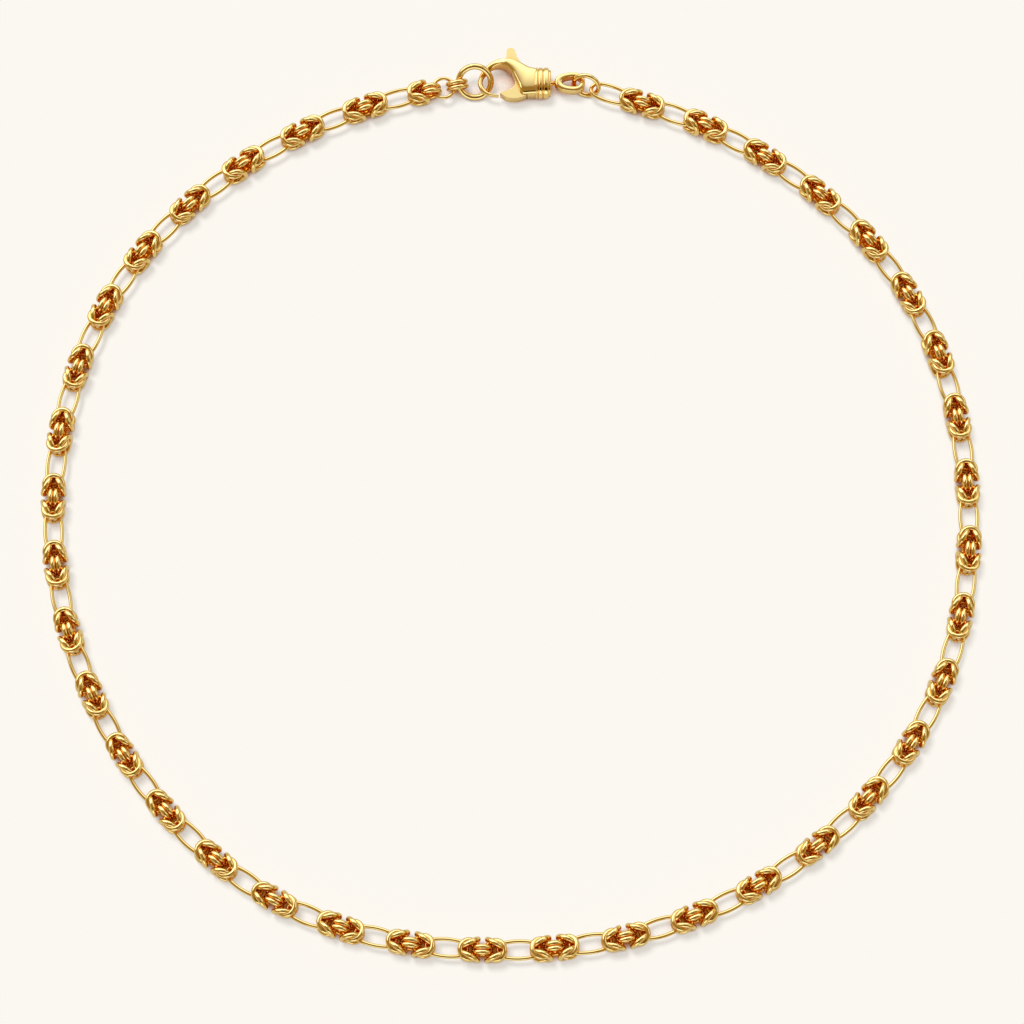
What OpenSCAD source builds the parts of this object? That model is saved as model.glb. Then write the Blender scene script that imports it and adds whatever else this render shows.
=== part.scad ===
// Knot chain necklace, fastened and laid out in a loop.
// Ten-ring knots and thin oval links take turns round the loop, and a swivel
// claw clasp joins the ends. +Z is up, the chain lies on Z = 0, and the clasp
// is on the +Y side, its axis along X.

/* [Knots] */
// Thickness of the wire of the knots' rings
knot_wire = 0.76; // [0.70:0.01:0.78]
// Radius of a knot ring, measured to the middle of its wire
knot_ring_r = 1.46; // [1.44:0.01:1.48]
// How far the two end rings of a knot lean apart, in degrees each
clam_lean = 22; // [20:1:24]
// How far the folded rings turn away from the chain, in degrees
fold_turn = 28; // [26:1:30]
// Largest roll of a knot about the chain, in degrees
knot_roll = 7; // [0:1:8]

/* [Oval links] */
// Thickness of the oval links' wire
oval_wire = 0.54; // [0.48:0.02:0.56]
// Outer width of an oval link
oval_w = 3.3; // [3.2:0.05:3.4]
// Outer length of an oval link
oval_len = 6.88; // [6.84:0.01:6.9]

/* [Rings at the clasp] */
// Outer diameter of the ring that the claw holds
end_ring_d = 6.2; // [6.1:0.05:6.2]
// Wire of the ring that the claw holds
end_ring_wire = 1.0; // [0.9:0.05:1.0]
// Wire of the thin round link
thin_wire = 0.54; // [0.44:0.02:0.56]
// Wire of the jump ring at the swivel loop
jump_wire = 0.76; // [0.66:0.02:0.76]

/* [Clasp] */
// Thickness of the claw
claw_t = 3.2; // [3.0:0.1:3.4]
// Thickness of the lever
lever_t = 1.8; // [1.6:0.1:1.8]
// Thickness of the collar's widest rings
collar_t = 3.9; // [3.8:0.05:3.9]
// Thickness of the swivel loop
swivel_t = 1.4; // [1.3:0.1:1.4]

/* [Hidden] */
knot_count = 38;
knot_pitch = 10.907;
// The chain's middle line round the loop: its radius every 30 degrees,
// anticlockwise from +X
loop_radii = [71.5, 71, 69, 68.5, 69, 71, 71.5, 72.5, 74, 72.5, 73, 73.5];
// Direction of the first knot from the loop's middle, right of the clasp
first_knot_a = 72.22;
mid_z = 1.95;

knot_r = knot_wire / 2;
bar_y = knot_r * 1.05;
clam_x = 0.62;
clam_z = knot_r * 0.95;
fold_at = [1.97, 1.03];
oval_grip = 2.28;

end_ring_at = [-6.05, 68.95, 2.15];
end_ring_tilt = 39;
pair_at = [-8.9, 68.5, 1.9];
pair_turn = 12;
pair_roll = 18;
thin_at = [-11.08, 67.93, 2];
thin_r = 1.68;
half_knot_at = [-13.24, 67.4];
half_knot_turn = 12;
clasp_at = [6.25, 68.8, 2];
jump_at = [5.7, -0.42];
jump_r = 2.05;
jump_turn = -16;
jump_lean = 25;

collar_len = 2.5;
collar_w = 5.2;
pivot = [-4.7, 0.3];
pin_r = 0.35;
post_r = 0.4;
play = 0.1;
slot_x = [-7.3, -3.2];
slot_h = lever_t + 2 * play;

// Claw outline, from the collar over the bow to the hook's tip
claw_outer = [[-2.3, 2.3], [-3.4, 2.5], [-4.5, 3.05], [-5.6, 3.6], [-6.6, 3.88],
  [-8, 3.9], [-9.5, 3.5], [-10.6, 2.75], [-11.5, 1.4], [-11.8, 0], [-11.5, -1.2],
  [-10.7, -2], [-9.6, -2.35], [-8.5, -2.45]];
// and back inside the bow to the trunk's lower corner
claw_inner = [[-8.4, -2.1], [-9.4, -1.85], [-10.35, -1.4], [-10.9, -0.6], [-11, 0.3],
  [-10.5, 1.2], [-9.8, 2], [-9, 2.55], [-8.2, 2.75], [-7.4, 2.5], [-6.7, 1.9], [-6.2, 1.2],
  [-5.75, 0.15], [-5.25, -1.05], [-4.7, -2.3]];
claw_foot = [[-2.3, -2.3]];
// Lever outline: thumb tab, hub, gate, and back along the inner edge
lever_outline = [[-7.15, 3.6], [-7.2, 5.2], [-6.95, 5.7], [-6.4, 5.85], [-5.95, 5.6],
  [-5.75, 5], [-5.3, 3.9], [-4.6, 2.6], [-3.9, 1.2], [-3.6, 0.2], [-3.7, -1],
  [-3.8, -2.2], [-4.7, -2.75], [-5.8, -2.95], [-7, -2.85], [-7.8, -2.4], [-8.2, -2],
  [-7.2, -1.6], [-6.5, -1.3], [-6, -0.85], [-5.8, -0.3], [-5.9, 0.4], [-6.25, 1.3],
  [-6.8, 2.3]];

function two_digits(n) = str(n < 10 ? "0" : "", n);
function knot_name(i) = str("knot_", two_digits(i + 1));

// Cubic through four values, at t from the second to the third
function cubic(a, b, c, d, t) =
  b + 0.5 * t * (c - a + t * (2 * a - 5 * b + 4 * c - d + t * (3 * b - a - 3 * c + d)));

// Smooth open curve through points, with steps sides between each two
function curve(points, steps = 4) = let (last = len(points) - 1)
  concat([for (i = [0 : last - 1]) for (j = [0 : steps - 1])
    cubic(points[max(i - 1, 0)], points[i], points[i + 1], points[min(i + 2, last)],
      j / steps)], [points[last]]);

// Smooth closed curve through points
function closed_curve(points, steps = 4) = let (n = len(points))
  [for (i = [0 : n - 1]) for (j = [0 : steps - 1])
    cubic(points[(i + n - 1) % n], points[i], points[(i + 1) % n], points[(i + 2) % n],
      j / steps)];

// The loop's middle line at a direction from its middle
function loop_point(a) = let (turn = (a + 360) % 360, step = 360 / len(loop_radii),
    n = len(loop_radii), i = floor(turn / step),
    r = cubic(loop_radii[(i + n - 1) % n], loop_radii[i], loop_radii[(i + 1) % n],
      loop_radii[(i + 2) % n], turn / step - i))
  r * [cos(turn), sin(turn)];

// Distance along the middle line, clockwise from the first knot, against
// the angle gone through, so that lookup() spaces the knots evenly
trail_step = 0.5;
trail_angles = [for (a = [-10 : trail_step : 345]) a];
trail_points = [for (a = trail_angles) loop_point(first_knot_a - a)];
function running_sum(lengths) = [for (i = 0, sum = 0; i <= len(lengths);
  sum = sum + (i < len(lengths) ? lengths[i] : 0), i = i + 1) sum];
trail_sums = running_sum([for (i = [1 : len(trail_points) - 1])
  norm(trail_points[i] - trail_points[i - 1])]);
trail_zero = lookup(0, [for (i = [0 : len(trail_sums) - 1]) [trail_angles[i], trail_sums[i]]]);
trail = [for (i = [0 : len(trail_sums) - 1]) [trail_sums[i] - trail_zero, trail_angles[i]]];

function heading(from, to) = atan2(to[1] - from[1], to[0] - from[0]);
function along(turn) = [cos(turn), sin(turn)];
function knot_at(i) = loop_point(first_knot_a - lookup(i * knot_pitch, trail));
function knot_turn(i) = heading(knot_at(i - 1), knot_at(i + 1));
function knot_rolled(i) = knot_roll * sin(137 * (i + 1));

// Where an oval link takes hold on each side of knot i. The first link
// starts in the jump ring and the last one ends in the half knot.
first_hold = [clasp_at[0] + jump_at[0] + 0.82, clasp_at[1] + jump_at[1] - 0.33];
last_hold = half_knot_at - oval_grip * along(half_knot_turn);
function hold_before(i) = i == knot_count ? last_hold
  : knot_at(i) - oval_grip * along(knot_turn(i));
function hold_after(i) = i < 0 ? first_hold : knot_at(i) + oval_grip * along(knot_turn(i));

// Round ring lying flat, radius measured to the middle of its wire
module ring(radius, wire) {
  rotate_extrude($fn = 72) translate([radius, 0]) circle(d = wire, $fn = 36);
}

// Round ring standing on edge, in the plane of X and Z
module standing_ring(radius, wire) {
  rotate([90, 0, 0]) ring(radius, wire);
}

// The two rings side by side in a knot's middle
module bar_pair() {
  for (side = [-1, 1]) translate([0, side * bar_y, 0]) standing_ring(knot_ring_r, knot_wire);
}

// Four rings on the +X side of a knot: two that open like a clam, and two
// folded back, one on each side of them
module knot_end() {
  for (side = [-1, 1]) {
    translate([clam_x, 0, side * clam_z]) rotate([0, -side * clam_lean, 0])
      translate([knot_ring_r, 0, 0]) ring(knot_ring_r, knot_wire);
    translate([fold_at[0], side * fold_at[1], 0]) rotate([0, 0, -side * fold_turn])
      standing_ring(knot_ring_r, knot_wire);
  }
}

module whole_knot() {
  bar_pair();
  knot_end();
  mirror([1, 0, 0]) knot_end();
}

module knot(i) {
  color("goldenrod") translate([knot_at(i)[0], knot_at(i)[1], mid_z])
    rotate([0, 0, knot_turn(i)]) rotate([knot_rolled(i), 0, 0]) whole_knot();
}

module half_knot() {
  color("goldenrod") translate([half_knot_at[0], half_knot_at[1], mid_z])
    rotate([0, 0, half_knot_turn]) {
      bar_pair();
      mirror([1, 0, 0]) knot_end();
    }
}

// Oval link along X: half rings joined by straight sides
oval_end_r = (oval_w - oval_wire) / 2;
oval_side = oval_len - oval_w;
module oval_link() {
  for (turn = [0, 180]) rotate([0, 0, turn]) {
    translate([oval_side / 2, 0, 0]) rotate([0, 0, -90]) rotate_extrude(angle = 180, $fn = 72)
      translate([oval_end_r, 0]) circle(d = oval_wire, $fn = 36);
    translate([-oval_side / 2, oval_end_r, 0]) rotate([0, 90, 0])
      cylinder(d = oval_wire, h = oval_side, $fn = 36);
  }
}

module oval_links() {
  color("khaki") for (i = [0 : knot_count]) {
    from = hold_after(i - 1);
    to = hold_before(i);
    middle = (from + to) / 2;
    translate([middle[0], middle[1], mid_z]) rotate([0, 0, heading(from, to)]) oval_link();
  }
}

module thin_link() {
  color("khaki") translate(thin_at) ring(thin_r, thin_wire);
}

module ring_pair() {
  color("goldenrod") translate(pair_at) rotate([pair_roll, 0, pair_turn]) bar_pair();
}

// The ring is tilted: over the bow on its far side and under the hook's
// tip on its near side
module end_ring() {
  color("gold") translate(end_ring_at) rotate([end_ring_tilt, 0, 0])
    ring((end_ring_d - end_ring_wire) / 2, end_ring_wire);
}

// Flat bar with half-round sides, w wide in Y and t thick in Z, from x0 to x1
module flat_bar(w, t, x0, x1) {
  translate([x0, 0, 0]) rotate([90, 0, 90]) linear_extrude(x1 - x0) {
    square([w - t, t], center = true);
    for (side = [-1, 1]) translate([side * (w - t) / 2, 0]) circle(d = t, $fn = 40);
  }
}

module collar() {
  flat_bar(collar_w - 0.4, collar_t - 0.4, -collar_len - 0.3, -0.1);
  flat_bar(collar_w, collar_t, -collar_len, -collar_len + 0.35);
  flat_bar(collar_w, collar_t, -collar_len + 0.5, -collar_len + 1.15);
  flat_bar(collar_w, collar_t, -collar_len + 1.3, -0.4);
  flat_bar(collar_w - 0.7, collar_t - 0.7, -0.4, 0);
}

module claw_plate() {
  translate([0, 0, -claw_t / 2]) linear_extrude(claw_t)
    polygon(concat(curve(claw_outer), curve(claw_inner), claw_foot));
}

// Wedge above the hook that thins it towards its tip; the hook's thickness
// falls along a line turned half way between -X and -Y
module hook_thinning() {
  translate([-8.8, 1.2, 0]) rotate([0, 0, 42]) rotate([90, 0, 0]) translate([0, 0, -4])
    linear_extrude(10) polygon([[-6, 0.42], [-1, 0.42], [1.6, 1.2], [2.8, claw_t / 2],
      [2.8, 3], [-6, 3]]);
}

module clasp_body() {
  color("gold") translate(clasp_at) difference() {
    union() {
      collar();
      claw_plate();
    }
    translate([slot_x[0], -4, -slot_h / 2]) cube([slot_x[1] - slot_x[0], 9, slot_h]);
    hook_thinning();
    mirror([0, 0, 1]) hook_thinning();
    rotate([0, 90, 0]) {
      translate([0, 0, -1]) cylinder(r = post_r + play, h = 2, $fn = 40);
      translate([0, 0, -1.9]) cylinder(r = 2 * post_r + play, h = 1.2, $fn = 40);
    }
  }
}

module clasp_lever() {
  color("gold") translate(clasp_at) translate([0, 0, -lever_t / 2]) linear_extrude(lever_t)
    difference() {
      polygon(closed_curve(lever_outline));
      translate(pivot) circle(r = pin_r + play, $fn = 40);
    }
}

module lever_pin() {
  color("goldenrod") translate(clasp_at) translate([pivot[0], pivot[1], -slot_h / 2])
    cylinder(r = pin_r, h = slot_h, $fn = 40);
}

// Plan of the swivel loop: a large and a small circle in one outline
module loop_plan(small_r, small_x, large_r, large_x) {
  hull() {
    translate([small_x, 0]) circle(r = small_r, $fn = 48);
    translate([large_x, 0]) circle(r = large_r, $fn = 48);
  }
}

module swivel_loop() {
  color("gold") translate(clasp_at) {
    difference() {
      translate([0, 0, -swivel_t / 2]) linear_extrude(swivel_t) loop_plan(1.1, 1.65, 1.7, 3.85);
      translate([0, 0, -swivel_t]) linear_extrude(2 * swivel_t)
        loop_plan(0.6, 2.3, 0.93, 3.75);
    }
    rotate([0, 90, 0]) {
      translate([0, 0, -1.2]) cylinder(r = post_r, h = 2.2, $fn = 40);
      translate([0, 0, -1.7]) cylinder(r = 2 * post_r, h = 0.6, $fn = 40);
    }
  }
}

module jump_ring() {
  color("goldenrod")
    translate([clasp_at[0] + jump_at[0], clasp_at[1] + jump_at[1],
      jump_r * cos(jump_lean) + jump_wire / 2])
      rotate([-jump_lean, 0, jump_turn]) standing_ring(jump_r, jump_wire);
}

for (i = [0 : knot_count - 1]) knot(i);
half_knot();
oval_links();
thin_link();
ring_pair();
end_ring();
clasp_body();
clasp_lever();
lever_pin();
swivel_loop();
jump_ring();
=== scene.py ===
# %% [markdown]
# A knot chain necklace, fastened and laid in a loop on a pale surface.
# The real chain is made of round gold-plated wire: ten small rings are closed
# into each other to make a knot, and a slender oval link joins each knot to
# the next. A cast claw clasp closes the loop.
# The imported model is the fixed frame. Each piece below is put where the
# frame says, and replaces the plain solid that holds its place.

# %% Load the frame
import math

import bmesh
import bpy
from mathutils import Matrix, Vector


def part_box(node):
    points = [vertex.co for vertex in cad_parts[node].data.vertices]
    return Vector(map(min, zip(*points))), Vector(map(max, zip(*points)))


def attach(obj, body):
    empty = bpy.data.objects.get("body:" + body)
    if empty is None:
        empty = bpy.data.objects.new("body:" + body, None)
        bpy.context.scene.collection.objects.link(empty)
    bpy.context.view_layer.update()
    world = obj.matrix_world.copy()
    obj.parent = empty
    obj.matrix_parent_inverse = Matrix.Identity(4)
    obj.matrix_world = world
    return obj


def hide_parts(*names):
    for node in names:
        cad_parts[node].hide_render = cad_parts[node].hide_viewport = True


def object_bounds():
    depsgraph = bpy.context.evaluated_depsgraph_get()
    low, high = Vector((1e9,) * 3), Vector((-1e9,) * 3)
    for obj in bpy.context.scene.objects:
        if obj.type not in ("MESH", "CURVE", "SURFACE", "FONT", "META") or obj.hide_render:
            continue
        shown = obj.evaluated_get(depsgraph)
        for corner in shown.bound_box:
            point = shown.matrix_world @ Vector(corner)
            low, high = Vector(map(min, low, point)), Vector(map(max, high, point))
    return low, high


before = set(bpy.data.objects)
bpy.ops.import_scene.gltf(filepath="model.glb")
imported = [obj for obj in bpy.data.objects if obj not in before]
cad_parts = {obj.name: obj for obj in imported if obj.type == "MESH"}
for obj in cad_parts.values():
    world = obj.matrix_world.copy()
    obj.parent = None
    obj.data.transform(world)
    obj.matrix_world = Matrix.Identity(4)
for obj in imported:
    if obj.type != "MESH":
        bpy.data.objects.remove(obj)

MM = 0.001
cad_low, cad_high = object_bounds()
knot_names = sorted(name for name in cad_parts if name.startswith("knot_"))
cad_size = [round((b - a) / MM, 1) for a, b in zip(cad_low, cad_high)]
print(len(knot_names), "knots; the loop is", cad_size, "mm")

# %% [markdown]
# The camera comes first, because every finish is judged through it. The
# photograph looks down steeply, from the side away from the clasp. Its
# height above the table was worked out from how the spacing of the knots
# shrinks towards the top of the picture. A long lens from a modest
# distance keeps the far side almost as large as the near one. The camera
# stands a fifth of a degree to one side, as a tripod seldom stands square.

# %% Camera
SENSOR_WIDTH = 36.0
NEAREST = 10 * MM
camera_height_angle = math.radians(73.5)
camera_turn = math.radians(0.19)
camera_distance = 591.0 * MM
lens_mm = 133.0
aimed_at = Vector((0.2, -3.45, 1.95)) * MM
towards_camera = Vector((0, -math.cos(camera_height_angle), math.sin(camera_height_angle)))
towards_camera.rotate(Matrix.Rotation(camera_turn, 3, "Z"))
camera_data = bpy.data.cameras.new("photo_camera")
camera_data.lens = lens_mm
camera_data.sensor_width = SENSOR_WIDTH
camera_data.clip_start = NEAREST
camera = bpy.data.objects.new("photo_camera", camera_data)
camera.location = aimed_at + towards_camera * camera_distance
camera.rotation_euler = (math.pi / 2 - camera_height_angle, 0, camera_turn)
bpy.context.scene.collection.objects.link(camera)
bpy.context.scene.camera = camera
print("camera", [round(v / MM, 1) for v in camera.location], "mm")

# %% [markdown]
# Colours are written as sRGB hex values, as a colour picker shows them, and
# shaders count in linear light, so one function turns the one into the
# other. One more function adds a node to any tree, with its settings, and
# links or sets its inputs. A list of sockets goes into a many-way input.

# %% Helpers for colours and nodes
def linear(hex_colour):
    """Linear red, green, blue and alpha of a hex colour such as F9DC8B."""
    parts = [int(hex_colour[i:i + 2], 16) / 255 for i in (0, 2, 4)]
    return [c / 12.92 if c <= 0.04045 else ((c + 0.055) / 1.055) ** 2.4 for c in parts] + [1.0]


def add_node(tree, kind, inputs=None, **settings):
    """Adds a node and fills its inputs, each with a value, a socket or a list of sockets."""
    node = tree.nodes.new(kind)
    for name, value in settings.items():
        setattr(node, name, value)
    for key, value in (inputs or {}).items():
        if isinstance(value, list) and isinstance(value[0], bpy.types.NodeSocket):
            for socket in value:
                tree.links.new(socket, node.inputs[key])
        elif isinstance(value, bpy.types.NodeSocket):
            tree.links.new(value, node.inputs[key])
        else:
            node.inputs[key].default_value = value
    return node


# %% [markdown]
# The finish is polished gold plate, about a micrometre of gold on silver. A
# plated metal has no colour of its own under the light: it tints what it
# mirrors, so base colour and a low roughness do most of the work, and the
# studio does the rest. Three things keep it from looking like a computer's
# gold. Drawn wire isn't perfectly true, so a slow waviness of a few
# micrometres bends the reflections. The plating varies a little in warmth
# from spot to spot. And deep between the rings, painted shade darkens the
# gold to a honey brown: an Ambient Occlusion node finds the places that
# little of the room can see and turns the base colour deep there, standing
# in for the shade and the gold's dim reflections of itself. It looks as far
# as a recess of the piece is wide, which is further on the clasp than on the wire.

# %% Polished gold plate
# The warmth drifts over about 5 mm. Real polishing marks are far finer than
# the picture shows, so the rub is drawn as a grain of 0.4 mm.
DRIFT = 5 * MM
RUB = 0.4 * MM


def polished_gold(name, pale, warm, deep, roughness, wave_mm, wave_depth_mm, recess_mm):
    """Gold plate, pale to warm, with painted shade in its recesses and a slow waviness."""
    material = bpy.data.materials.new(name)
    material.use_nodes = True
    tree = material.node_tree
    shader = tree.nodes["Principled BSDF"]
    shader.inputs["Metallic"].default_value = 1.0
    place = add_node(tree, "ShaderNodeTexCoord")
    drift = add_node(tree, "ShaderNodeTexNoise", {"Vector": place.outputs["Object"],
                     "Scale": 1 / DRIFT, "Detail": 2.0})
    tint = add_node(tree, "ShaderNodeMix", {"Factor": drift.outputs["Fac"], "A": linear(pale),
                    "B": linear(warm)}, data_type="RGBA")
    # Painted shade: where this AO finds a recess, the base colour turns to the deep colour
    open_air = add_node(tree, "ShaderNodeAmbientOcclusion", {"Distance": recess_mm * MM}, samples=8)
    unshaded_share = add_node(tree, "ShaderNodeMapRange", {"Value": open_air.outputs["AO"],
                             "From Min": 0.2, "From Max": 1.0}, interpolation_type="SMOOTHSTEP")
    colour = add_node(tree, "ShaderNodeMix", {"Factor": unshaded_share.outputs["Result"],
                      "A": linear(deep), "B": tint.outputs["Result"]}, data_type="RGBA")
    wave = add_node(tree, "ShaderNodeTexNoise", {"Vector": place.outputs["Object"],
                    "Scale": 1 / (wave_mm * MM), "Detail": 1.0})
    bump = add_node(tree, "ShaderNodeBump", {"Height": wave.outputs["Fac"], "Strength": 1.0,
                    "Distance": wave_depth_mm * MM})
    rub = add_node(tree, "ShaderNodeTexNoise", {"Vector": place.outputs["Object"],
                   "Scale": 1 / RUB, "Detail": 3.0})
    polish = add_node(tree, "ShaderNodeMapRange", {"Value": rub.outputs["Fac"], "From Min": 0.3,
                      "From Max": 0.7, "To Min": roughness * 0.8, "To Max": roughness * 1.3})
    tree.links.new(colour.outputs["Result"], shader.inputs["Base Color"])
    tree.links.new(bump.outputs["Normal"], shader.inputs["Normal"])
    tree.links.new(polish.outputs["Result"], shader.inputs["Roughness"])
    return material


PALE_GOLD = "F9DC8B"
WARM_GOLD = "F8D884"
# Drawn wire closed into knots: the darkest painted shade, deep orange, in the recesses between the rings
knot_gold = polished_gold("polished_gold_knot_wire", PALE_GOLD, WARM_GOLD, "ED9A1D", 0.04, 1.5, 0.003, 2.0)
# Drawn wire of the open links: only a pale painted shade in their recesses, so they stay bright and pale all
# over
link_gold = polished_gold("polished_gold_link_wire", PALE_GOLD, WARM_GOLD, "F2B650", 0.04, 2.0, 0.002, 2.0)
# Cast and wheel-polished: a touch softer in its shine, with broader waves, and painted shade reaching
# further into its recesses
clasp_gold = polished_gold("polished_gold_cast_clasp", PALE_GOLD, WARM_GOLD, "EDA22C", 0.06, 2.5, 0.004, 4.5)
# The solids that stay as they are, such as the lever's pin, are cast gold too
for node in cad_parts.values():
    node.data.materials.clear()
    node.data.materials.append(clasp_gold)
print("finishes:", knot_gold.name, link_gold.name, clasp_gold.name)

# %% [markdown]
# A ring of round wire is a circle swept along a circle. The rings repeat by
# the hundred, so Geometry Nodes build them: Curve to Mesh sweeps the wire's
# circle along the ring's circle, and the sizes are named inputs of the tree.
# The sweep is only this fine because there are nearly four hundred rings.
# A small function runs a tree on an object and keeps the plain mesh.

# %% Run a tree and keep its mesh
RING_STEPS = 44
WIRE_STEPS = 12


def new_tree(name, inputs):
    """Geometry tree with one geometry output and the named inputs, each (name, kind, default)."""
    tree = bpy.data.node_groups.new(name, "GeometryNodeTree")
    tree.interface.new_socket("Geometry", in_out="OUTPUT", socket_type="NodeSocketGeometry")
    for label, kind, default in inputs:
        socket = tree.interface.new_socket(label, in_out="INPUT", socket_type="NodeSocket" + kind)
        if default is not None:
            socket.default_value = default
    return tree


def grown(tree, name, values=None, start=None):
    """Runs the tree on a new object and returns the object with the result as a plain mesh."""
    piece = bpy.data.objects.new(name, start or bpy.data.meshes.new(name))
    bpy.context.scene.collection.objects.link(piece)
    modifier = piece.modifiers.new("grow", "NODES")
    modifier.node_group = tree
    for item in tree.interface.items_tree:
        if item.in_out == "INPUT" and item.name in (values or {}):
            modifier[item.identifier] = values[item.name]
    evaluated = piece.evaluated_get(bpy.context.evaluated_depsgraph_get())
    mesh = bpy.data.meshes.new_from_object(evaluated)
    piece.modifiers.remove(modifier)
    piece.data = mesh
    mesh.name = name
    return piece


def finish_tree(tree, geometry, material):
    """Ends a tree: real geometry, smooth shading and one material."""
    real = add_node(tree, "GeometryNodeRealizeInstances", {"Geometry": geometry})
    smooth = add_node(tree, "GeometryNodeSetShadeSmooth", {"Geometry": real.outputs[0]})
    gilt = add_node(tree, "GeometryNodeSetMaterial", {"Geometry": smooth.outputs[0], "Material": material})
    add_node(tree, "NodeGroupOutput", {0: gilt.outputs[0]})


# %% [markdown]
# A knot is ten equal rings. Two stand side by side across its middle. At
# each end two more open like a clam, one above and one below the middle,
# and two are folded back over them, one on each side. The folded rings are
# what holds the knot together and what the oval link goes through.
# The tree below turns and moves one swept ring ten times. Each Transform
# turns first and moves then, so the steps read as a maker would do them.
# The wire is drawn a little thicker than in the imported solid, within the
# same outline, and the clam rings open less, because the real knot looks
# fuller than its solid.

# %% Sizes of a knot
KNOT_WIRE = 0.84 * MM
KNOT_RING = 1.42 * MM
BAR_OFFSET = 0.40 * MM
CLAM_START = 0.62 * MM
CLAM_GAP = 0.36 * MM
CLAM_LEAN = math.radians(15)
FOLD_X = 1.97 * MM
FOLD_Y = 0.97 * MM
FOLD_TURN = math.radians(27)

# %% The knot's tree
def knot_tree():
    """Ten rings round a knot's middle, rolled about the chain, turned along it and moved there."""
    tree = new_tree("knot of ten rings", [
        ("Ring radius", "Float", KNOT_RING), ("Wire radius", "Float", KNOT_WIRE / 2),
        ("Second end", "Bool", True), ("Centre", "Vector", (0, 0, 0)),
        ("Roll", "Float", 0.0), ("Heading", "Float", 0.0)])
    given = add_node(tree, "NodeGroupInput").outputs
    path = add_node(tree, "GeometryNodeCurvePrimitiveCircle",
                    {"Resolution": RING_STEPS, "Radius": given["Ring radius"]})
    wire = add_node(tree, "GeometryNodeCurvePrimitiveCircle",
                    {"Resolution": WIRE_STEPS, "Radius": given["Wire radius"]})
    ring = add_node(tree, "GeometryNodeCurveToMesh",
                    {"Curve": path.outputs[0], "Profile Curve": wire.outputs[0]})
    reach = add_node(tree, "ShaderNodeCombineXYZ", {"X": given["Ring radius"]})
    upright = add_node(tree, "GeometryNodeTransform",
                       {"Geometry": ring.outputs[0], "Rotation": (math.pi / 2, 0, 0)})
    outward = add_node(tree, "GeometryNodeTransform",
                       {"Geometry": ring.outputs[0], "Translation": reach.outputs[0]})
    bars, end = [], []
    for side in (1, -1):
        bar = add_node(tree, "GeometryNodeTransform", {
            "Geometry": upright.outputs[0], "Translation": (0, side * BAR_OFFSET, 0)})
        clam = add_node(tree, "GeometryNodeTransform", {
            "Geometry": outward.outputs[0], "Rotation": (0, -side * CLAM_LEAN, 0),
            "Translation": (CLAM_START, 0, side * CLAM_GAP)})
        fold = add_node(tree, "GeometryNodeTransform", {
            "Geometry": upright.outputs[0], "Rotation": (0, 0, -side * FOLD_TURN),
            "Translation": (FOLD_X, side * FOLD_Y, 0)})
        bars.append(bar.outputs[0])
        end += [clam.outputs[0], fold.outputs[0]]
    one_end = add_node(tree, "GeometryNodeJoinGeometry", {0: end})
    other_end = add_node(tree, "GeometryNodeTransform",
                         {"Geometry": one_end.outputs[0], "Rotation": (0, 0, math.pi)})
    second = add_node(tree, "GeometryNodeSwitch", {"Switch": given["Second end"],
                      "True": one_end.outputs[0]}, input_type="GEOMETRY")
    knot = add_node(tree, "GeometryNodeJoinGeometry", {0: bars + [other_end.outputs[0], second.outputs[0]]})
    roll = add_node(tree, "ShaderNodeCombineXYZ", {"X": given["Roll"]})
    heading = add_node(tree, "ShaderNodeCombineXYZ", {"Z": given["Heading"]})
    rolled = add_node(tree, "GeometryNodeTransform",
                      {"Geometry": knot.outputs[0], "Rotation": roll.outputs[0]})
    placed = add_node(tree, "GeometryNodeTransform", {"Geometry": rolled.outputs[0],
                      "Rotation": heading.outputs[0], "Translation": given["Centre"]})
    finish_tree(tree, placed.outputs[0], knot_gold)
    return tree


ten_rings = knot_tree()
print("the knot's tree has", len(ten_rings.nodes), "nodes")

# %% [markdown]
# A knot looks the same from both ends, so the middle of its solid's box is
# its centre. It lies along the line from the knot before to the knot after,
# and is rolled a few degrees about the chain, no two alike, because a real
# chain never lies quite flat. The first and last knots have a neighbour on
# one side only, and there the bend of the loop is carried on.

# %% Place the knots
def centre_of(node_name):
    """Middle of a solid's box."""
    low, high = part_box(node_name)
    return (Vector(low) + Vector(high)) / 2


def bend(before, after):
    """Angle from one direction to the next, both in radians, between minus pi and pi."""
    return (after - before + math.pi) % (2 * math.pi) - math.pi


LARGEST_ROLL = math.radians(7)
HALF_KNOT_AT = Vector((-13.24, 67.4, 1.95)) * MM
HALF_KNOT_HEADING = math.radians(12)
FIRST_LINK_START = Vector((12.77, 68.05, 1.95)) * MM
centres = [centre_of(name) for name in knot_names]
steps = [after - before for before, after in zip(centres, centres[1:])]
step_headings = [math.atan2(step.y, step.x) for step in steps]
bends = [bend(a, b) for a, b in zip(step_headings, step_headings[1:])]
bends = [bends[0]] + bends + [bends[-1]]
headings = [step_headings[0] - bends[0] / 2]
for i, turn in enumerate(bends[1:]):
    headings.append(step_headings[i] + turn / 2)
rolls = [LARGEST_ROLL * math.sin(math.radians(137 * (i + 1))) for i in range(len(knot_names))]
print("knots are", round(steps[0].length / MM, 2), "mm apart")

# %% Make the knots
for name, centre, heading, roll in zip(knot_names, centres, headings, rolls):
    knot = grown(ten_rings, name + "_rings", {"Centre": centre, "Heading": heading, "Roll": roll})
    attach(knot, "root")
    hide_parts(name)

half_knot = grown(ten_rings, "half_knot_rings",
                  {"Centre": HALF_KNOT_AT, "Heading": HALF_KNOT_HEADING, "Second end": False})
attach(half_knot, "root")
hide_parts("half_knot")
print("made", len(knot_names), "knots of", len(half_knot.data.polygons) // 6 * 10, "faces and a half knot")

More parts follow.
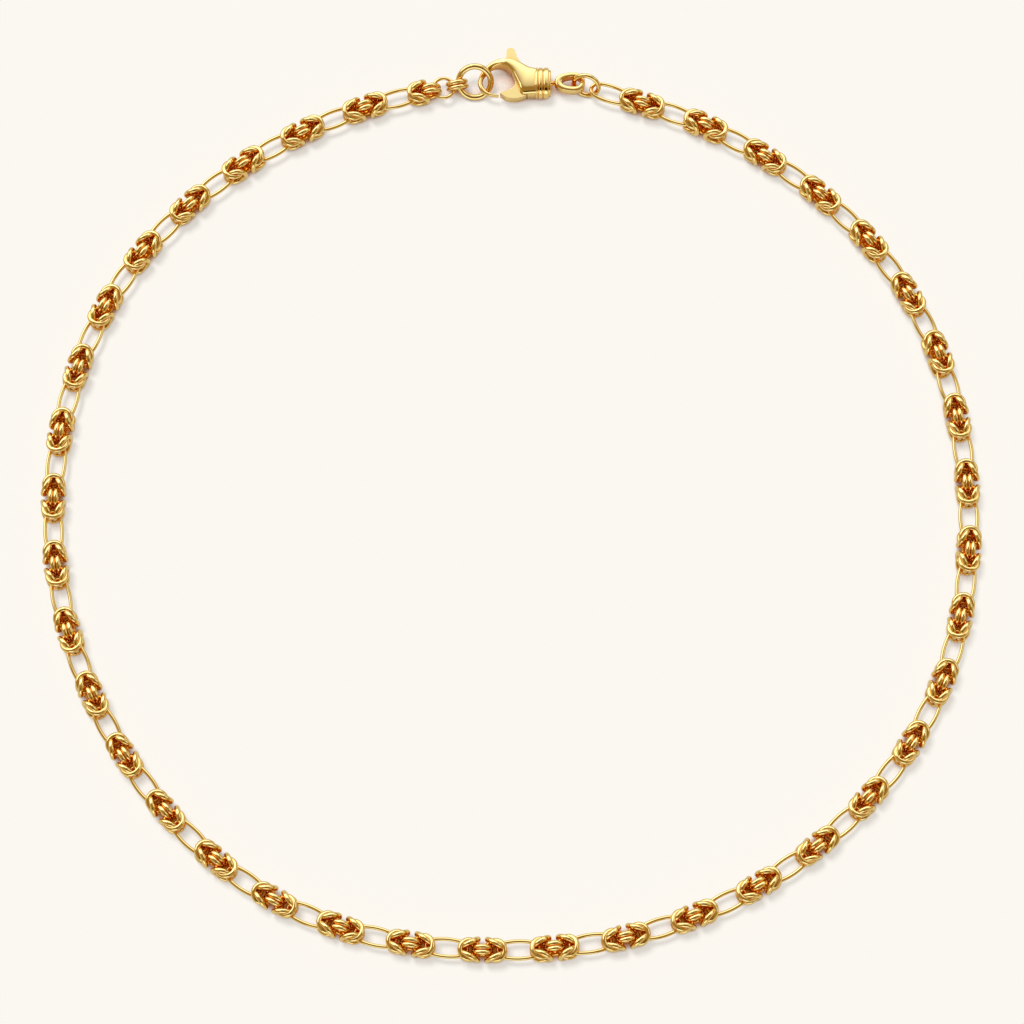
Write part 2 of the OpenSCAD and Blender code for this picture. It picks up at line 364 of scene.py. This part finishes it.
# %% [markdown]
# The oval links are thin wire, bent round a flat mandrel, so their ends are
# half circles and their long sides bow out a little. One link is swept and
# then set at 39 points, each in the middle between the knots on its two
# sides and turned along the line between them. The points carry the turn
# as an attribute, which Instance on Points reads. The sides' bow is a Set
# Position on the path before the sweep, so the wire stays round. This wire
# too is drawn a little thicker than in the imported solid, as the photo has it.

# %% The oval link's tree
OVAL_WIRE = 0.62 * MM
OVAL_LENGTH = 6.88 * MM
OVAL_WIDTH = 3.3 * MM
OVAL_END_RADIUS = 0.88 * MM
OVAL_GRIP = 2.28 * MM
OVAL_STEPS = 64


def oval_tree():
    """Bowed oval links of round wire on the start mesh's points, turned by their heading."""
    tree = new_tree("oval links", [
        ("Links", "Geometry", None), ("Length", "Float", OVAL_LENGTH - OVAL_WIRE),
        ("Width", "Float", OVAL_WIDTH - OVAL_WIRE), ("End radius", "Float", OVAL_END_RADIUS),
        ("Wire radius", "Float", OVAL_WIRE / 2)])
    given = add_node(tree, "NodeGroupInput").outputs
    circle = add_node(tree, "GeometryNodeCurvePrimitiveCircle",
                      {"Resolution": OVAL_STEPS, "Radius": given["End radius"]})
    here = add_node(tree, "GeometryNodeInputPosition")
    axes = add_node(tree, "ShaderNodeSeparateXYZ", {"Vector": here.outputs[0]})
    # Each half of the circle moves out to its own end of the link
    half_length = add_node(tree, "ShaderNodeMath", {0: given["Length"], 1: 0.5}, operation="MULTIPLY")
    shift = add_node(tree, "ShaderNodeMath",
                     {0: half_length.outputs[0], 1: given["End radius"]}, operation="SUBTRACT")
    end = add_node(tree, "ShaderNodeMath", {0: axes.outputs["X"]}, operation="SIGN")
    outward = add_node(tree, "ShaderNodeMath",
                       {0: end.outputs[0], 1: shift.outputs[0]}, operation="MULTIPLY")
    moved = add_node(tree, "ShaderNodeCombineXYZ", {"X": outward.outputs[0]})
    stadium = add_node(tree, "GeometryNodeSetPosition",
                       {"Geometry": circle.outputs[0], "Offset": moved.outputs[0]})
    even = add_node(tree, "GeometryNodeResampleCurve", {"Curve": stadium.outputs[0], "Count": OVAL_STEPS})
    # The sides bow out by what the width has over the end circles
    spot = add_node(tree, "ShaderNodeSeparateXYZ", {"Vector": here.outputs[0]})
    share = add_node(tree, "ShaderNodeMath",
                     {0: spot.outputs["X"], 1: half_length.outputs[0]}, operation="DIVIDE")
    square = add_node(tree, "ShaderNodeMath",
                      {0: share.outputs[0], 1: share.outputs[0]}, operation="MULTIPLY")
    rise = add_node(tree, "ShaderNodeMath", {0: 1.0, 1: square.outputs[0]}, operation="SUBTRACT")
    half_width = add_node(tree, "ShaderNodeMath", {0: given["Width"], 1: 0.5}, operation="MULTIPLY")
    spare = add_node(tree, "ShaderNodeMath",
                     {0: half_width.outputs[0], 1: given["End radius"]}, operation="DIVIDE")
    more = add_node(tree, "ShaderNodeMath", {0: spare.outputs[0], 1: 1.0}, operation="SUBTRACT")
    bow = add_node(tree, "ShaderNodeMath", {0: rise.outputs[0], 1: more.outputs[0]}, operation="MULTIPLY")
    push = add_node(tree, "ShaderNodeMath", {0: spot.outputs["Y"], 1: bow.outputs[0]}, operation="MULTIPLY")
    sideways = add_node(tree, "ShaderNodeCombineXYZ", {"Y": push.outputs[0]})
    bowed = add_node(tree, "GeometryNodeSetPosition",
                     {"Geometry": even.outputs[0], "Offset": sideways.outputs[0]})
    wire = add_node(tree, "GeometryNodeCurvePrimitiveCircle",
                    {"Resolution": WIRE_STEPS, "Radius": given["Wire radius"]})
    link = add_node(tree, "GeometryNodeCurveToMesh",
                    {"Curve": bowed.outputs[0], "Profile Curve": wire.outputs[0]})
    heading = add_node(tree, "GeometryNodeInputNamedAttribute", {"Name": "heading"}, data_type="FLOAT")
    turn = add_node(tree, "ShaderNodeCombineXYZ", {"Z": heading.outputs[0]})
    placed = add_node(tree, "GeometryNodeInstanceOnPoints", {"Points": given["Links"],
                      "Instance": link.outputs[0], "Rotation": turn.outputs[0]})
    finish_tree(tree, placed.outputs[0], link_gold)
    return tree


# %% Place the oval links
def along(heading):
    """Unit vector along a heading."""
    return Vector((math.cos(heading), math.sin(heading), 0))


starts = [FIRST_LINK_START] + [c + OVAL_GRIP * along(h) for c, h in zip(centres, headings)]
ends = [c - OVAL_GRIP * along(h) for c, h in zip(centres, headings)]
ends.append(HALF_KNOT_AT - OVAL_GRIP * along(HALF_KNOT_HEADING))
points = bpy.data.meshes.new("link_points")
points.from_pydata([(a + b) / 2 for a, b in zip(starts, ends)], [], [])
turns = points.attributes.new("heading", "FLOAT", "POINT")
for place, a, b in zip(turns.data, starts, ends):
    place.value = math.atan2(b.y - a.y, b.x - a.x)
oval_links = grown(oval_tree(), "oval_wire_links", start=points)
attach(oval_links, "root")
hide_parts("oval_links")
print("oval links:", len(points.vertices), "of", round(OVAL_LENGTH / MM, 2), "mm")

# %% [markdown]
# Four more pieces at the clasp are plain round rings, so one tree makes
# them all: a ring of its own radius and wire, turned and moved. A pair is
# the same ring twice, a wire's thickness apart. These rings stand alone and
# show more than one in a knot, so they are swept finer.

# %% Rings at the clasp
FINE_RING_STEPS = 96
FINE_WIRE_STEPS = 24


def ring_tree():
    """One ring, or two side by side, turned and moved to its place."""
    tree = new_tree("round ring", [
        ("Ring radius", "Float", 1.5 * MM), ("Wire radius", "Float", 0.3 * MM), ("Apart", "Float", 0.0),
        ("Turn", "Vector", (0, 0, 0)), ("Centre", "Vector", (0, 0, 0))])
    given = add_node(tree, "NodeGroupInput").outputs
    path = add_node(tree, "GeometryNodeCurvePrimitiveCircle",
                    {"Resolution": FINE_RING_STEPS, "Radius": given["Ring radius"]})
    wire = add_node(tree, "GeometryNodeCurvePrimitiveCircle",
                    {"Resolution": FINE_WIRE_STEPS, "Radius": given["Wire radius"]})
    ring = add_node(tree, "GeometryNodeCurveToMesh",
                    {"Curve": path.outputs[0], "Profile Curve": wire.outputs[0]})
    up = add_node(tree, "ShaderNodeCombineXYZ", {"Z": given["Apart"]})
    row = add_node(tree, "GeometryNodeMeshLine",
                   {"Count": 2, "Start Location": (0, 0, 0), "Offset": up.outputs[0]})
    pair = add_node(tree, "GeometryNodeInstanceOnPoints",
                    {"Points": row.outputs[0], "Instance": ring.outputs[0]})
    is_pair = add_node(tree, "FunctionNodeCompare",
                       {0: given["Apart"], 1: 0.0}, data_type="FLOAT", operation="GREATER_THAN")
    chosen = add_node(tree, "GeometryNodeSwitch", {"Switch": is_pair.outputs[0], "False": ring.outputs[0],
                      "True": pair.outputs[0]}, input_type="GEOMETRY")
    down = add_node(tree, "ShaderNodeVectorMath", {0: up.outputs[0], "Scale": -0.5}, operation="SCALE")
    middle = add_node(tree, "GeometryNodeTransform",
                      {"Geometry": chosen.outputs[0], "Translation": down.outputs[0]})
    placed = add_node(tree, "GeometryNodeTransform",
                      {"Geometry": middle.outputs[0], "Rotation": given["Turn"],
                       "Translation": given["Centre"]})
    finish_tree(tree, placed.outputs[0], link_gold)
    return tree


# Node, ring radius, wire and distance of a pair in mm, and its turn about X, Y, Z in degrees
clasp_rings = [
    ("thin_link", 1.68, 0.54, 0.0, (0, 0, 0)),
    ("ring_pair", 1.46, 0.76, 0.80, (90 + 18, 0, 12)),
    ("end_ring", 2.6, 1.0, 0.0, (39, 0, 0)),
    ("jump_ring", 2.05, 0.76, 0.0, (90 - 25, 0, -16))]
round_ring = ring_tree()
for name, radius, wire, apart, turn in clasp_rings:
    ring = grown(round_ring, name + "_wire", {"Ring radius": radius * MM, "Wire radius": wire / 2 * MM,
                 "Apart": apart * MM, "Turn": [math.radians(a) for a in turn], "Centre": centre_of(name)})
    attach(ring, "root")
    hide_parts(name)
    print(name, len(ring.data.polygons), "faces")

# %% [markdown]
# The claw is cast and then polished on a wheel, which leaves no sharp edge:
# the flat face runs over into round edges, and the hook is round all about.
# So the claw is a loft. Sections stand across it from its outer edge to its
# inner one, and each is a superellipse: a high power gives the trunk's flat
# face with soft edges, a power near two the hook's round wire. The thickness
# falls from the bow to the hook's tip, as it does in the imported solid.

# %% Lofting helpers
def through(values, steps):
    """Points of a smooth curve through the given ones, with steps spans between each two."""
    points = [Vector(v) for v in values]
    smooth = []
    for i in range(len(points) - 1):
        a, d = points[max(i - 1, 0)], points[min(i + 2, len(points) - 1)]
        b, c = points[i], points[i + 1]
        for j in range(steps):
            t = j / steps
            curving = 2 * a - 5 * b + 4 * c - d + (3 * b - a - 3 * c + d) * t
            smooth.append(b + (c - a + curving * t) * t / 2)
    return smooth + [points[-1]]


def superellipse(half_width, half_height, power, count):
    """Closed outline as pairs, round for a power of two and squarer above it."""
    outline = []
    for i in range(count):
        angle = 2 * math.pi * i / count
        c, s = math.cos(angle), math.sin(angle)
        outline.append((half_width * math.copysign(abs(c) ** (2 / power), c),
                        half_height * math.copysign(abs(s) ** (2 / power), s)))
    return outline


def loft(mesh, sections, closed=False):
    """Adds a skin over sections of equal point counts, capped at its ends or closed on itself."""
    rings = [[mesh.verts.new(point) for point in section] for section in sections]
    count = len(rings[0])
    following = rings[1:] + rings[:1] if closed else rings[1:]
    for a, b in zip(rings, following):
        for i in range(count):
            mesh.faces.new((a[i], a[(i + 1) % count], b[(i + 1) % count], b[i]))
    if not closed:
        mesh.faces.new(rings[0][::-1])
        mesh.faces.new(rings[-1])


def piece_of(mesh, name):
    """Turns a bmesh into an object of cast gold with smooth faces that point outward."""
    bmesh.ops.recalc_face_normals(mesh, faces=mesh.faces)
    data = bpy.data.meshes.new(name)
    mesh.to_mesh(data)
    mesh.free()
    data.materials.append(clasp_gold)
    data.shade_smooth()
    piece = bpy.data.objects.new(name, data)
    bpy.context.scene.collection.objects.link(piece)
    return piece


def settle(piece):
    """Applies the piece's modifiers by taking its evaluated mesh."""
    evaluated = piece.evaluated_get(bpy.context.evaluated_depsgraph_get())
    mesh = bpy.data.meshes.new_from_object(evaluated)
    piece.modifiers.clear()
    piece.data = mesh


def adopt(piece, node_name, body="root"):
    """Rides the piece on its body in place of a clasp node."""
    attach(piece, body)
    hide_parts(node_name)
    print(piece.name, len(piece.data.polygons), "faces")


# %% The claw
# The clasp's place and all its outlines are in mm, and the outlines start at the collar's end
CLASP_AT = Vector((6.25, 68.8, 2.0))
claw_outer = [(-2.1, 2.25), (-2.9, 2.38), (-3.6, 2.57), (-4.3, 2.95), (-5.0, 3.33), (-5.7, 3.63),
              (-6.5, 3.85), (-7.4, 3.93), (-8.3, 3.87), (-9.5, 3.5), (-10.6, 2.75), (-11.35, 1.65),
              (-11.78, 0.35), (-11.72, -0.6), (-11.15, -1.65), (-10.3, -2.15), (-9.3, -2.4), (-8.5, -2.45)]
claw_inner = [(-2.1, -2.25), (-3.3, -2.3), (-4.7, -2.3), (-5.25, -1.05), (-5.75, 0.15), (-6.2, 1.2),
              (-6.7, 1.9), (-7.4, 2.5), (-8.2, 2.75), (-9, 2.55), (-9.8, 2), (-10.5, 1.2), (-11, 0.3),
              (-10.9, -0.6), (-10.35, -1.4), (-9.5, -1.82), (-8.9, -1.97), (-8.4, -2.1)]
CLAW_HALF = 1.6
HOOK_HALF = 0.42
CURVE_STEPS = 5
SECTION_POINTS = 40
ROUND_POWER = 2.3
SQUARER_BY = 2.5
THINNING_LENGTH = 3.9
thinning_from = Vector((-8.8, 1.2))
thinning_along = Vector((math.cos(math.radians(42)), math.sin(math.radians(42))))


def half_thickness(place):
    """Half the claw's thickness at a place, which falls towards the hook."""
    along_hook = (place - thinning_from).dot(thinning_along)
    share = min(max((along_hook + 1) / THINNING_LENGTH, 0), 1)
    return HOOK_HALF + (CLAW_HALF - HOOK_HALF) * share ** 2 * (3 - 2 * share)


claw = bmesh.new()
sections = []
for outer, inner in zip(through(claw_outer, CURVE_STEPS), through(claw_inner, CURVE_STEPS)):
    middle, half_span = (outer + inner) / 2, (outer - inner) / 2
    half = half_thickness(middle)
    power = ROUND_POWER + SQUARER_BY * (half - HOOK_HALF) / (CLAW_HALF - HOOK_HALF)
    outline = superellipse(1, half, power, SECTION_POINTS)
    sections.append([(CLASP_AT + Vector((middle.x, middle.y, 0)) + Vector((half_span.x, half_span.y, 0)) * w
                      + Vector((0, 0, h))) * MM for w, h in outline])
loft(claw, sections)
claw_body = piece_of(claw, "claw_and_collar")
print("the claw is lofted over", len(sections), "sections")

# %% [markdown]
# The claw is slotted so that the lever fits between two cheeks. A Boolean
# cuts the slot, and edges sharper than 40 degrees then stay sharp. The
# collar is turned with three beads and a smaller cap. Its section is a flat
# bar with half-round sides, lofted along the clasp with an inset that rises
# and falls: no inset on the crown of a bead, the deepest in a groove.

# %% Slot
SLOT_HALF = 1.0
SHARP_FROM = math.radians(40)
slot_plan = [(-7.26, 4.4), (-7.22, 3.4), (-6.84, 2.3), (-6.28, 1.3), (-5.95, 0.4), (-6.3, -3), (-3.8, -3),
             (-3.78, -1.8), (-3.66, -1), (-3.54, 0.2), (-3.5, 1), (-3.5, 4.4)]
cutter = bmesh.new()
corners = [cutter.verts.new((CLASP_AT + Vector((x, y, -SLOT_HALF))) * MM) for x, y in slot_plan]
slot_floor = cutter.faces.new(corners)
raised = bmesh.ops.extrude_face_region(cutter, geom=[slot_floor])
raised_corners = [item for item in raised["geom"] if isinstance(item, bmesh.types.BMVert)]
bmesh.ops.translate(cutter, verts=raised_corners, vec=(0, 0, 2 * SLOT_HALF * MM))
slot_block = piece_of(cutter, "slot_block")
cut = claw_body.modifiers.new("slot", "BOOLEAN")
cut.object = slot_block
cut.solver = "EXACT"
settle(claw_body)
bpy.data.objects.remove(slot_block)
claw_body.data.set_sharp_from_angle(angle=SHARP_FROM)
print("the slot is", 2 * SLOT_HALF, "mm wide")

# %% Collar
COLLAR_WIDTH = 5.2
COLLAR_THICKNESS = 3.9
COLLAR_POINTS = 64
TURNED_SHARP_FROM = math.radians(50)


def bead(start, end):
    """Inset of a rounded bead from one end to the other, as pairs of place and inset."""
    edge = [(0, 0.2), (0, 0.13), (0.03, 0.07), (0.09, 0.025), (0.16, 0.005)]
    return [(start + x, inset) for x, inset in edge] + [(end - x, inset) for x, inset in reversed(edge)]


def flat_bar(x, inset, count):
    """Section of a flat bar with half-round sides, smaller by the inset."""
    radius = COLLAR_THICKNESS / 2 - inset
    reach = (COLLAR_WIDTH - COLLAR_THICKNESS) / 2
    section = []
    for i in range(count):
        angle = 2 * math.pi * (i + 0.5) / count
        y = radius * math.cos(angle) + math.copysign(reach, math.cos(angle))
        section.append((CLASP_AT + Vector((x, y, radius * math.sin(angle)))) * MM)
    return section


profile = [(-2.8, 0.75), (-2.7, 0.3), (-2.55, 0.2)]
profile += bead(-2.5, -2.15) + bead(-2.0, -1.35) + bead(-1.2, -0.38)
profile += [(-0.36, 0.38), (-0.14, 0.38), (-0.06, 0.42), (-0.01, 0.52), (0, 0.65)]
collar = bmesh.new()
loft(collar, [flat_bar(x, inset, COLLAR_POINTS) for x, inset in profile])
collar_piece = piece_of(collar, "collar")
collar_piece.data.set_sharp_from_angle(angle=TURNED_SHARP_FROM)
with bpy.context.temp_override(active_object=claw_body, selected_editable_objects=[claw_body, collar_piece]):
    bpy.ops.object.join()
adopt(claw_body, "clasp_body")

# %% [markdown]
# The lever is a flat pressing with its rims broken by polishing. Its plain
# solid has the right outline, so the piece is a merged copy of the solid's
# mesh with a bevel round the rims of its two flat faces. A Weighted Normal
# modifier keeps the flats looking flat. The plain pin in the slot stays.

# %% Lever
RIM_RADIUS = 0.3


def rim_softened(node_name, name, radius):
    """Copy of a flat node with its two flat faces' rims rounded."""
    mesh = bmesh.new()
    mesh.from_mesh(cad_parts[node_name].data)
    bmesh.ops.remove_doubles(mesh, verts=mesh.verts, dist=0.0005 * MM)
    bmesh.ops.dissolve_limit(mesh, angle_limit=math.radians(1), verts=mesh.verts, edges=mesh.edges)
    flats = [face for face in mesh.faces if abs(face.normal.z) > 0.999 and face.calc_area() > 1 * MM ** 2]
    rims = {edge for face in flats for edge in face.edges}
    bmesh.ops.bevel(mesh, geom=list(rims), offset=radius * MM, segments=5, profile=0.5,
                    affect="EDGES", clamp_overlap=True)
    piece = piece_of(mesh, name)
    piece.data.set_sharp_from_angle(angle=SHARP_FROM)
    piece.modifiers.new("flats", "WEIGHTED_NORMAL").keep_sharp = True
    settle(piece)
    return piece


lever = rim_softened("clasp_lever", "lever_with_thumb_tab", RIM_RADIUS)
adopt(lever, "clasp_lever", "lever")

# %% [markdown]
# The swivel loop is a thick oval link with a domed face, cast on a short
# post. The post's head turns inside the collar and keeps the loop there.
# Its outer and inner outlines are smooth curves, given for one side and
# mirrored, and the skin between them has a superellipse for its section.

# %% Swivel loop
LOOP_HALF = 0.9
LOOP_POWER = 4.5
LOOP_POINTS = 32
ROUND_STEPS = 6
POST_RADIUS = 0.4
HEAD_RADIUS = 0.8
loop_outer = [(0.57, 0), (0.68, 0.5), (1.0, 0.98), (1.6, 1.34), (2.4, 1.58), (3.2, 1.7), (4.0, 1.68),
              (4.8, 1.4), (5.35, 0.82), (5.53, 0)]
loop_inner = [(1.85, 0), (1.89, 0.2), (2.06, 0.4), (2.4, 0.58), (2.8, 0.69), (3.3, 0.76), (3.8, 0.76),
              (4.3, 0.64), (4.6, 0.4), (4.68, 0)]


def all_round(half):
    """Smooth closed outline from one side's points, mirrored to the other side."""
    closed = half + [(x, -y) for x, y in half[-2:0:-1]]
    wrapped = closed[-1:] + closed + closed[:2]
    return through(wrapped, ROUND_STEPS)[ROUND_STEPS:-ROUND_STEPS - 1]


def barrel(mesh, start, end, radius):
    """Adds a round bar along the clasp with softened ends."""
    sections = []
    for x, share in ((start, 0.85), (start + 0.06, 1), (end - 0.06, 1), (end, 0.85)):
        sections.append([(CLASP_AT + Vector((x, y, z))) * MM
                         for y, z in superellipse(radius * share, radius * share, 2, 24)])
    loft(mesh, sections)


swivel = bmesh.new()
sections = []
for outer, inner in zip(all_round(loop_outer), all_round(loop_inner)):
    middle, half_span = (outer + inner) / 2, (outer - inner) / 2
    sections.append([(CLASP_AT + Vector((*(middle + half_span * w), h))) * MM
                     for w, h in superellipse(1, LOOP_HALF, LOOP_POWER, LOOP_POINTS)])
loft(swivel, sections, closed=True)
barrel(swivel, -1.2, 0.9, POST_RADIUS)
barrel(swivel, -1.7, -1.1, HEAD_RADIUS)
swivel_piece = piece_of(swivel, "swivel_loop_on_its_post")
swivel_piece.data.set_sharp_from_angle(angle=TURNED_SHARP_FROM)
adopt(swivel_piece, "swivel_loop")

# %% [markdown]
# The studio. The necklace lies on pale matt card, and card and gold want
# different light. For a catalogue the card is lit until it is nearly white,
# and a retoucher lifts it further. So the card glows a little by itself,
# more for the camera than for the gold that mirrors it. An Ambient
# Occlusion node dims the glow where wire comes close: a painted contact
# shadow. A second one, with a longer reach, paints the card brown where it
# sees nothing but gold, deep under a knot: painted shade, with the gold's
# light painted in. Both nodes belong to the card's material alone.

# %% Floor
FLOOR_SIZE = 3.0
CARD = "999895"
CARD_GLOW = "FFFBF3"
# Painted shade under the knots: the card turns this brown where it sees only gold
PAINTED_SHADE_UNDER_GOLD = "A0621C"
floor_mesh = bpy.data.meshes.new("pale_card")
edge = FLOOR_SIZE / 2
floor_z = -0.02 * MM
floor_mesh.from_pydata([(-edge, -edge, floor_z), (edge, -edge, floor_z), (edge, edge, floor_z),
                        (-edge, edge, floor_z)], [], [(0, 1, 2, 3)])
floor = bpy.data.objects.new("pale_card", floor_mesh)
bpy.context.scene.collection.objects.link(floor)
card = bpy.data.materials.new("matt_card")
card.use_nodes = True
card_tree = card.node_tree
card_shader = card_tree.nodes["Principled BSDF"]
card_shader.inputs["Roughness"].default_value = 1.0
card_shader.inputs["Specular IOR Level"].default_value = 0.0
# Painted contact shadow: this AO node dims the card's glow near the wire
open_card = add_node(card_tree, "ShaderNodeAmbientOcclusion", {"Distance": 1.0 * MM}, samples=8)
# Painted shade: this longer AO paints the card brown deep under the knots
under_knot = add_node(card_tree, "ShaderNodeAmbientOcclusion", {"Distance": 4.5 * MM}, samples=8)
gold_lit = add_node(card_tree, "ShaderNodeMapRange", {"Value": under_knot.outputs["AO"], "From Min": 0.28,
                    "From Max": 0.42})
card_colour = add_node(card_tree, "ShaderNodeMix", {"Factor": gold_lit.outputs["Result"],
                       "A": linear(PAINTED_SHADE_UNDER_GOLD), "B": linear(CARD)}, data_type="RGBA")
glow_colour = add_node(card_tree, "ShaderNodeMix", {"Factor": gold_lit.outputs["Result"],
                       "A": linear(PAINTED_SHADE_UNDER_GOLD), "B": linear(CARD_GLOW)}, data_type="RGBA")
# Painted contact shadow: full glow only where the card is open, less near the wire
glow_outside_painted_shadow = add_node(card_tree, "ShaderNodeMapRange", {"Value": open_card.outputs["AO"], "From Min": 0.05,
                  "From Max": 0.6})
card_ray = add_node(card_tree, "ShaderNodeLightPath")
glow = add_node(card_tree, "ShaderNodeMapRange", {"Value": card_ray.outputs["Is Camera Ray"],
                "To Min": 0.36, "To Max": 0.63})
glow_here = add_node(card_tree, "ShaderNodeMath", {0: glow_outside_painted_shadow.outputs["Result"], 1: glow.outputs["Result"]},
                     operation="MULTIPLY")
card_tree.links.new(card_colour.outputs["Result"], card_shader.inputs["Base Color"])
card_tree.links.new(glow_colour.outputs["Result"], card_shader.inputs["Emission Color"])
card_tree.links.new(glow_here.outputs[0], card_shader.inputs["Emission Strength"])
floor_mesh.materials.append(card)
print("the card is", FLOOR_SIZE, "m wide and its material has", len(card_tree.nodes), "nodes")

# %% [markdown]
# Shiny metal shows the room more than itself, so the room is what makes gold
# look like gold. The walls are dim and warm. Four soft lamps of cool
# daylight stand out against them: a softbox at the left, one behind, a white
# board low in front and a lamp at the right. The lens looks through a dark
# gap. Each round wire then shows bright lines with a dark one between them.
# None of this is for the card: the world's shader gives diffuse rays a weak
# even sky instead, told apart by the kind of ray. A lamp at the upper left,
# which no metal mirrors, throws the short shadows to the lower right. It
# is as broad as a window close by, so their edges are soft.

# %% Room and light
WALL_LOW = "BFA269"
WALL_HIGH = "9C8155"
DAYLIGHT = "C5DBFF"
LENS_GAP = "33251A"
world = bpy.data.worlds.new("studio")
bpy.context.scene.world = world
world.use_nodes = True
room = world.node_tree
room.nodes.clear()
looking = add_node(room, "ShaderNodeTexCoord").outputs["Generated"]


def towards(azimuth, elevation):
    """Direction in degrees: azimuth 0 is behind the card, 90 its right, elevation 90 overhead."""
    a, e = math.radians(azimuth), math.radians(elevation)
    return Vector((math.sin(a) * math.cos(e), math.cos(a) * math.cos(e), math.sin(e)))


def round_light(azimuth, elevation, inner, outer, brightness):
    """Socket with a round soft light: full within the inner angle, nothing beyond the outer one."""
    apart = add_node(room, "ShaderNodeVectorMath",
                     {0: looking, 1: towards(azimuth, elevation)}, operation="DISTANCE")
    return add_node(room, "ShaderNodeMapRange", {
        "Value": apart.outputs["Value"], "From Min": 2 * math.sin(math.radians(inner / 2)),
        "From Max": 2 * math.sin(math.radians(outer / 2)), "To Min": brightness, "To Max": 0.0},
        interpolation_type="SMOOTHSTEP").outputs["Result"]


height = add_node(room, "ShaderNodeSeparateXYZ", {"Vector": looking})
walls = add_node(room, "ShaderNodeValToRGB", {"Fac": height.outputs["Z"]})
walls.color_ramp.elements[0].color = linear(WALL_LOW)
walls.color_ramp.elements[1].color = linear(WALL_HIGH)
mirrored = walls.outputs["Color"]
# Azimuth, elevation, where it is full and where it ends, all in degrees, and brightness
softbox_left = (-50, 38, 24, 31, 2.2)
softbox_behind = (5, 40, 19, 38, 2.0)
board_in_front = (185, 12, 20, 23, 1.6)
lamp_right = (75, 40, 15, 20, 1.2)
for light in (softbox_left, softbox_behind, board_in_front, lamp_right):
    daylight = add_node(room, "ShaderNodeVectorMath",
                        {0: linear(DAYLIGHT)[:3], "Scale": round_light(*light)}, operation="SCALE")
    mirrored = add_node(room, "ShaderNodeVectorMath", {0: mirrored, 1: daylight.outputs[0]},
                        operation="ADD").outputs[0]
gap = round_light(180, 50, 13, 18, 1.0)
seen = add_node(room, "ShaderNodeMix",
                {"Factor": gap, "A": mirrored, "B": linear(LENS_GAP)}, data_type="RGBA")
for_metal = add_node(room, "ShaderNodeBackground", {"Color": seen.outputs["Result"]})
for_card = add_node(room, "ShaderNodeBackground", {"Strength": 0.25})
ray = add_node(room, "ShaderNodeLightPath")
either = add_node(room, "ShaderNodeMixShader", {0: ray.outputs["Is Diffuse Ray"], 1: for_metal.outputs[0],
                  2: for_card.outputs[0]})
add_node(room, "ShaderNodeOutputWorld", {"Surface": either.outputs[0]})
# The world isn't sampled as a lamp, because only a ray's kind tells which sky it meets
world.cycles.sampling_method = "NONE"

# %% Lamp for the card
lamp_data = bpy.data.lights.new("lamp_for_the_card", "SUN")
lamp_data.energy = 2.85
lamp_data.angle = math.radians(22)
lamp = bpy.data.objects.new("lamp_for_the_card", lamp_data)
lamp.rotation_euler = towards(-40, 70).to_track_quat("Z", "Y").to_euler()
lamp.visible_glossy = False
bpy.context.scene.collection.objects.link(lamp)
bpy.context.scene.view_settings.view_transform = "Standard"
print("the room has", len(room.nodes), "nodes and one lamp")
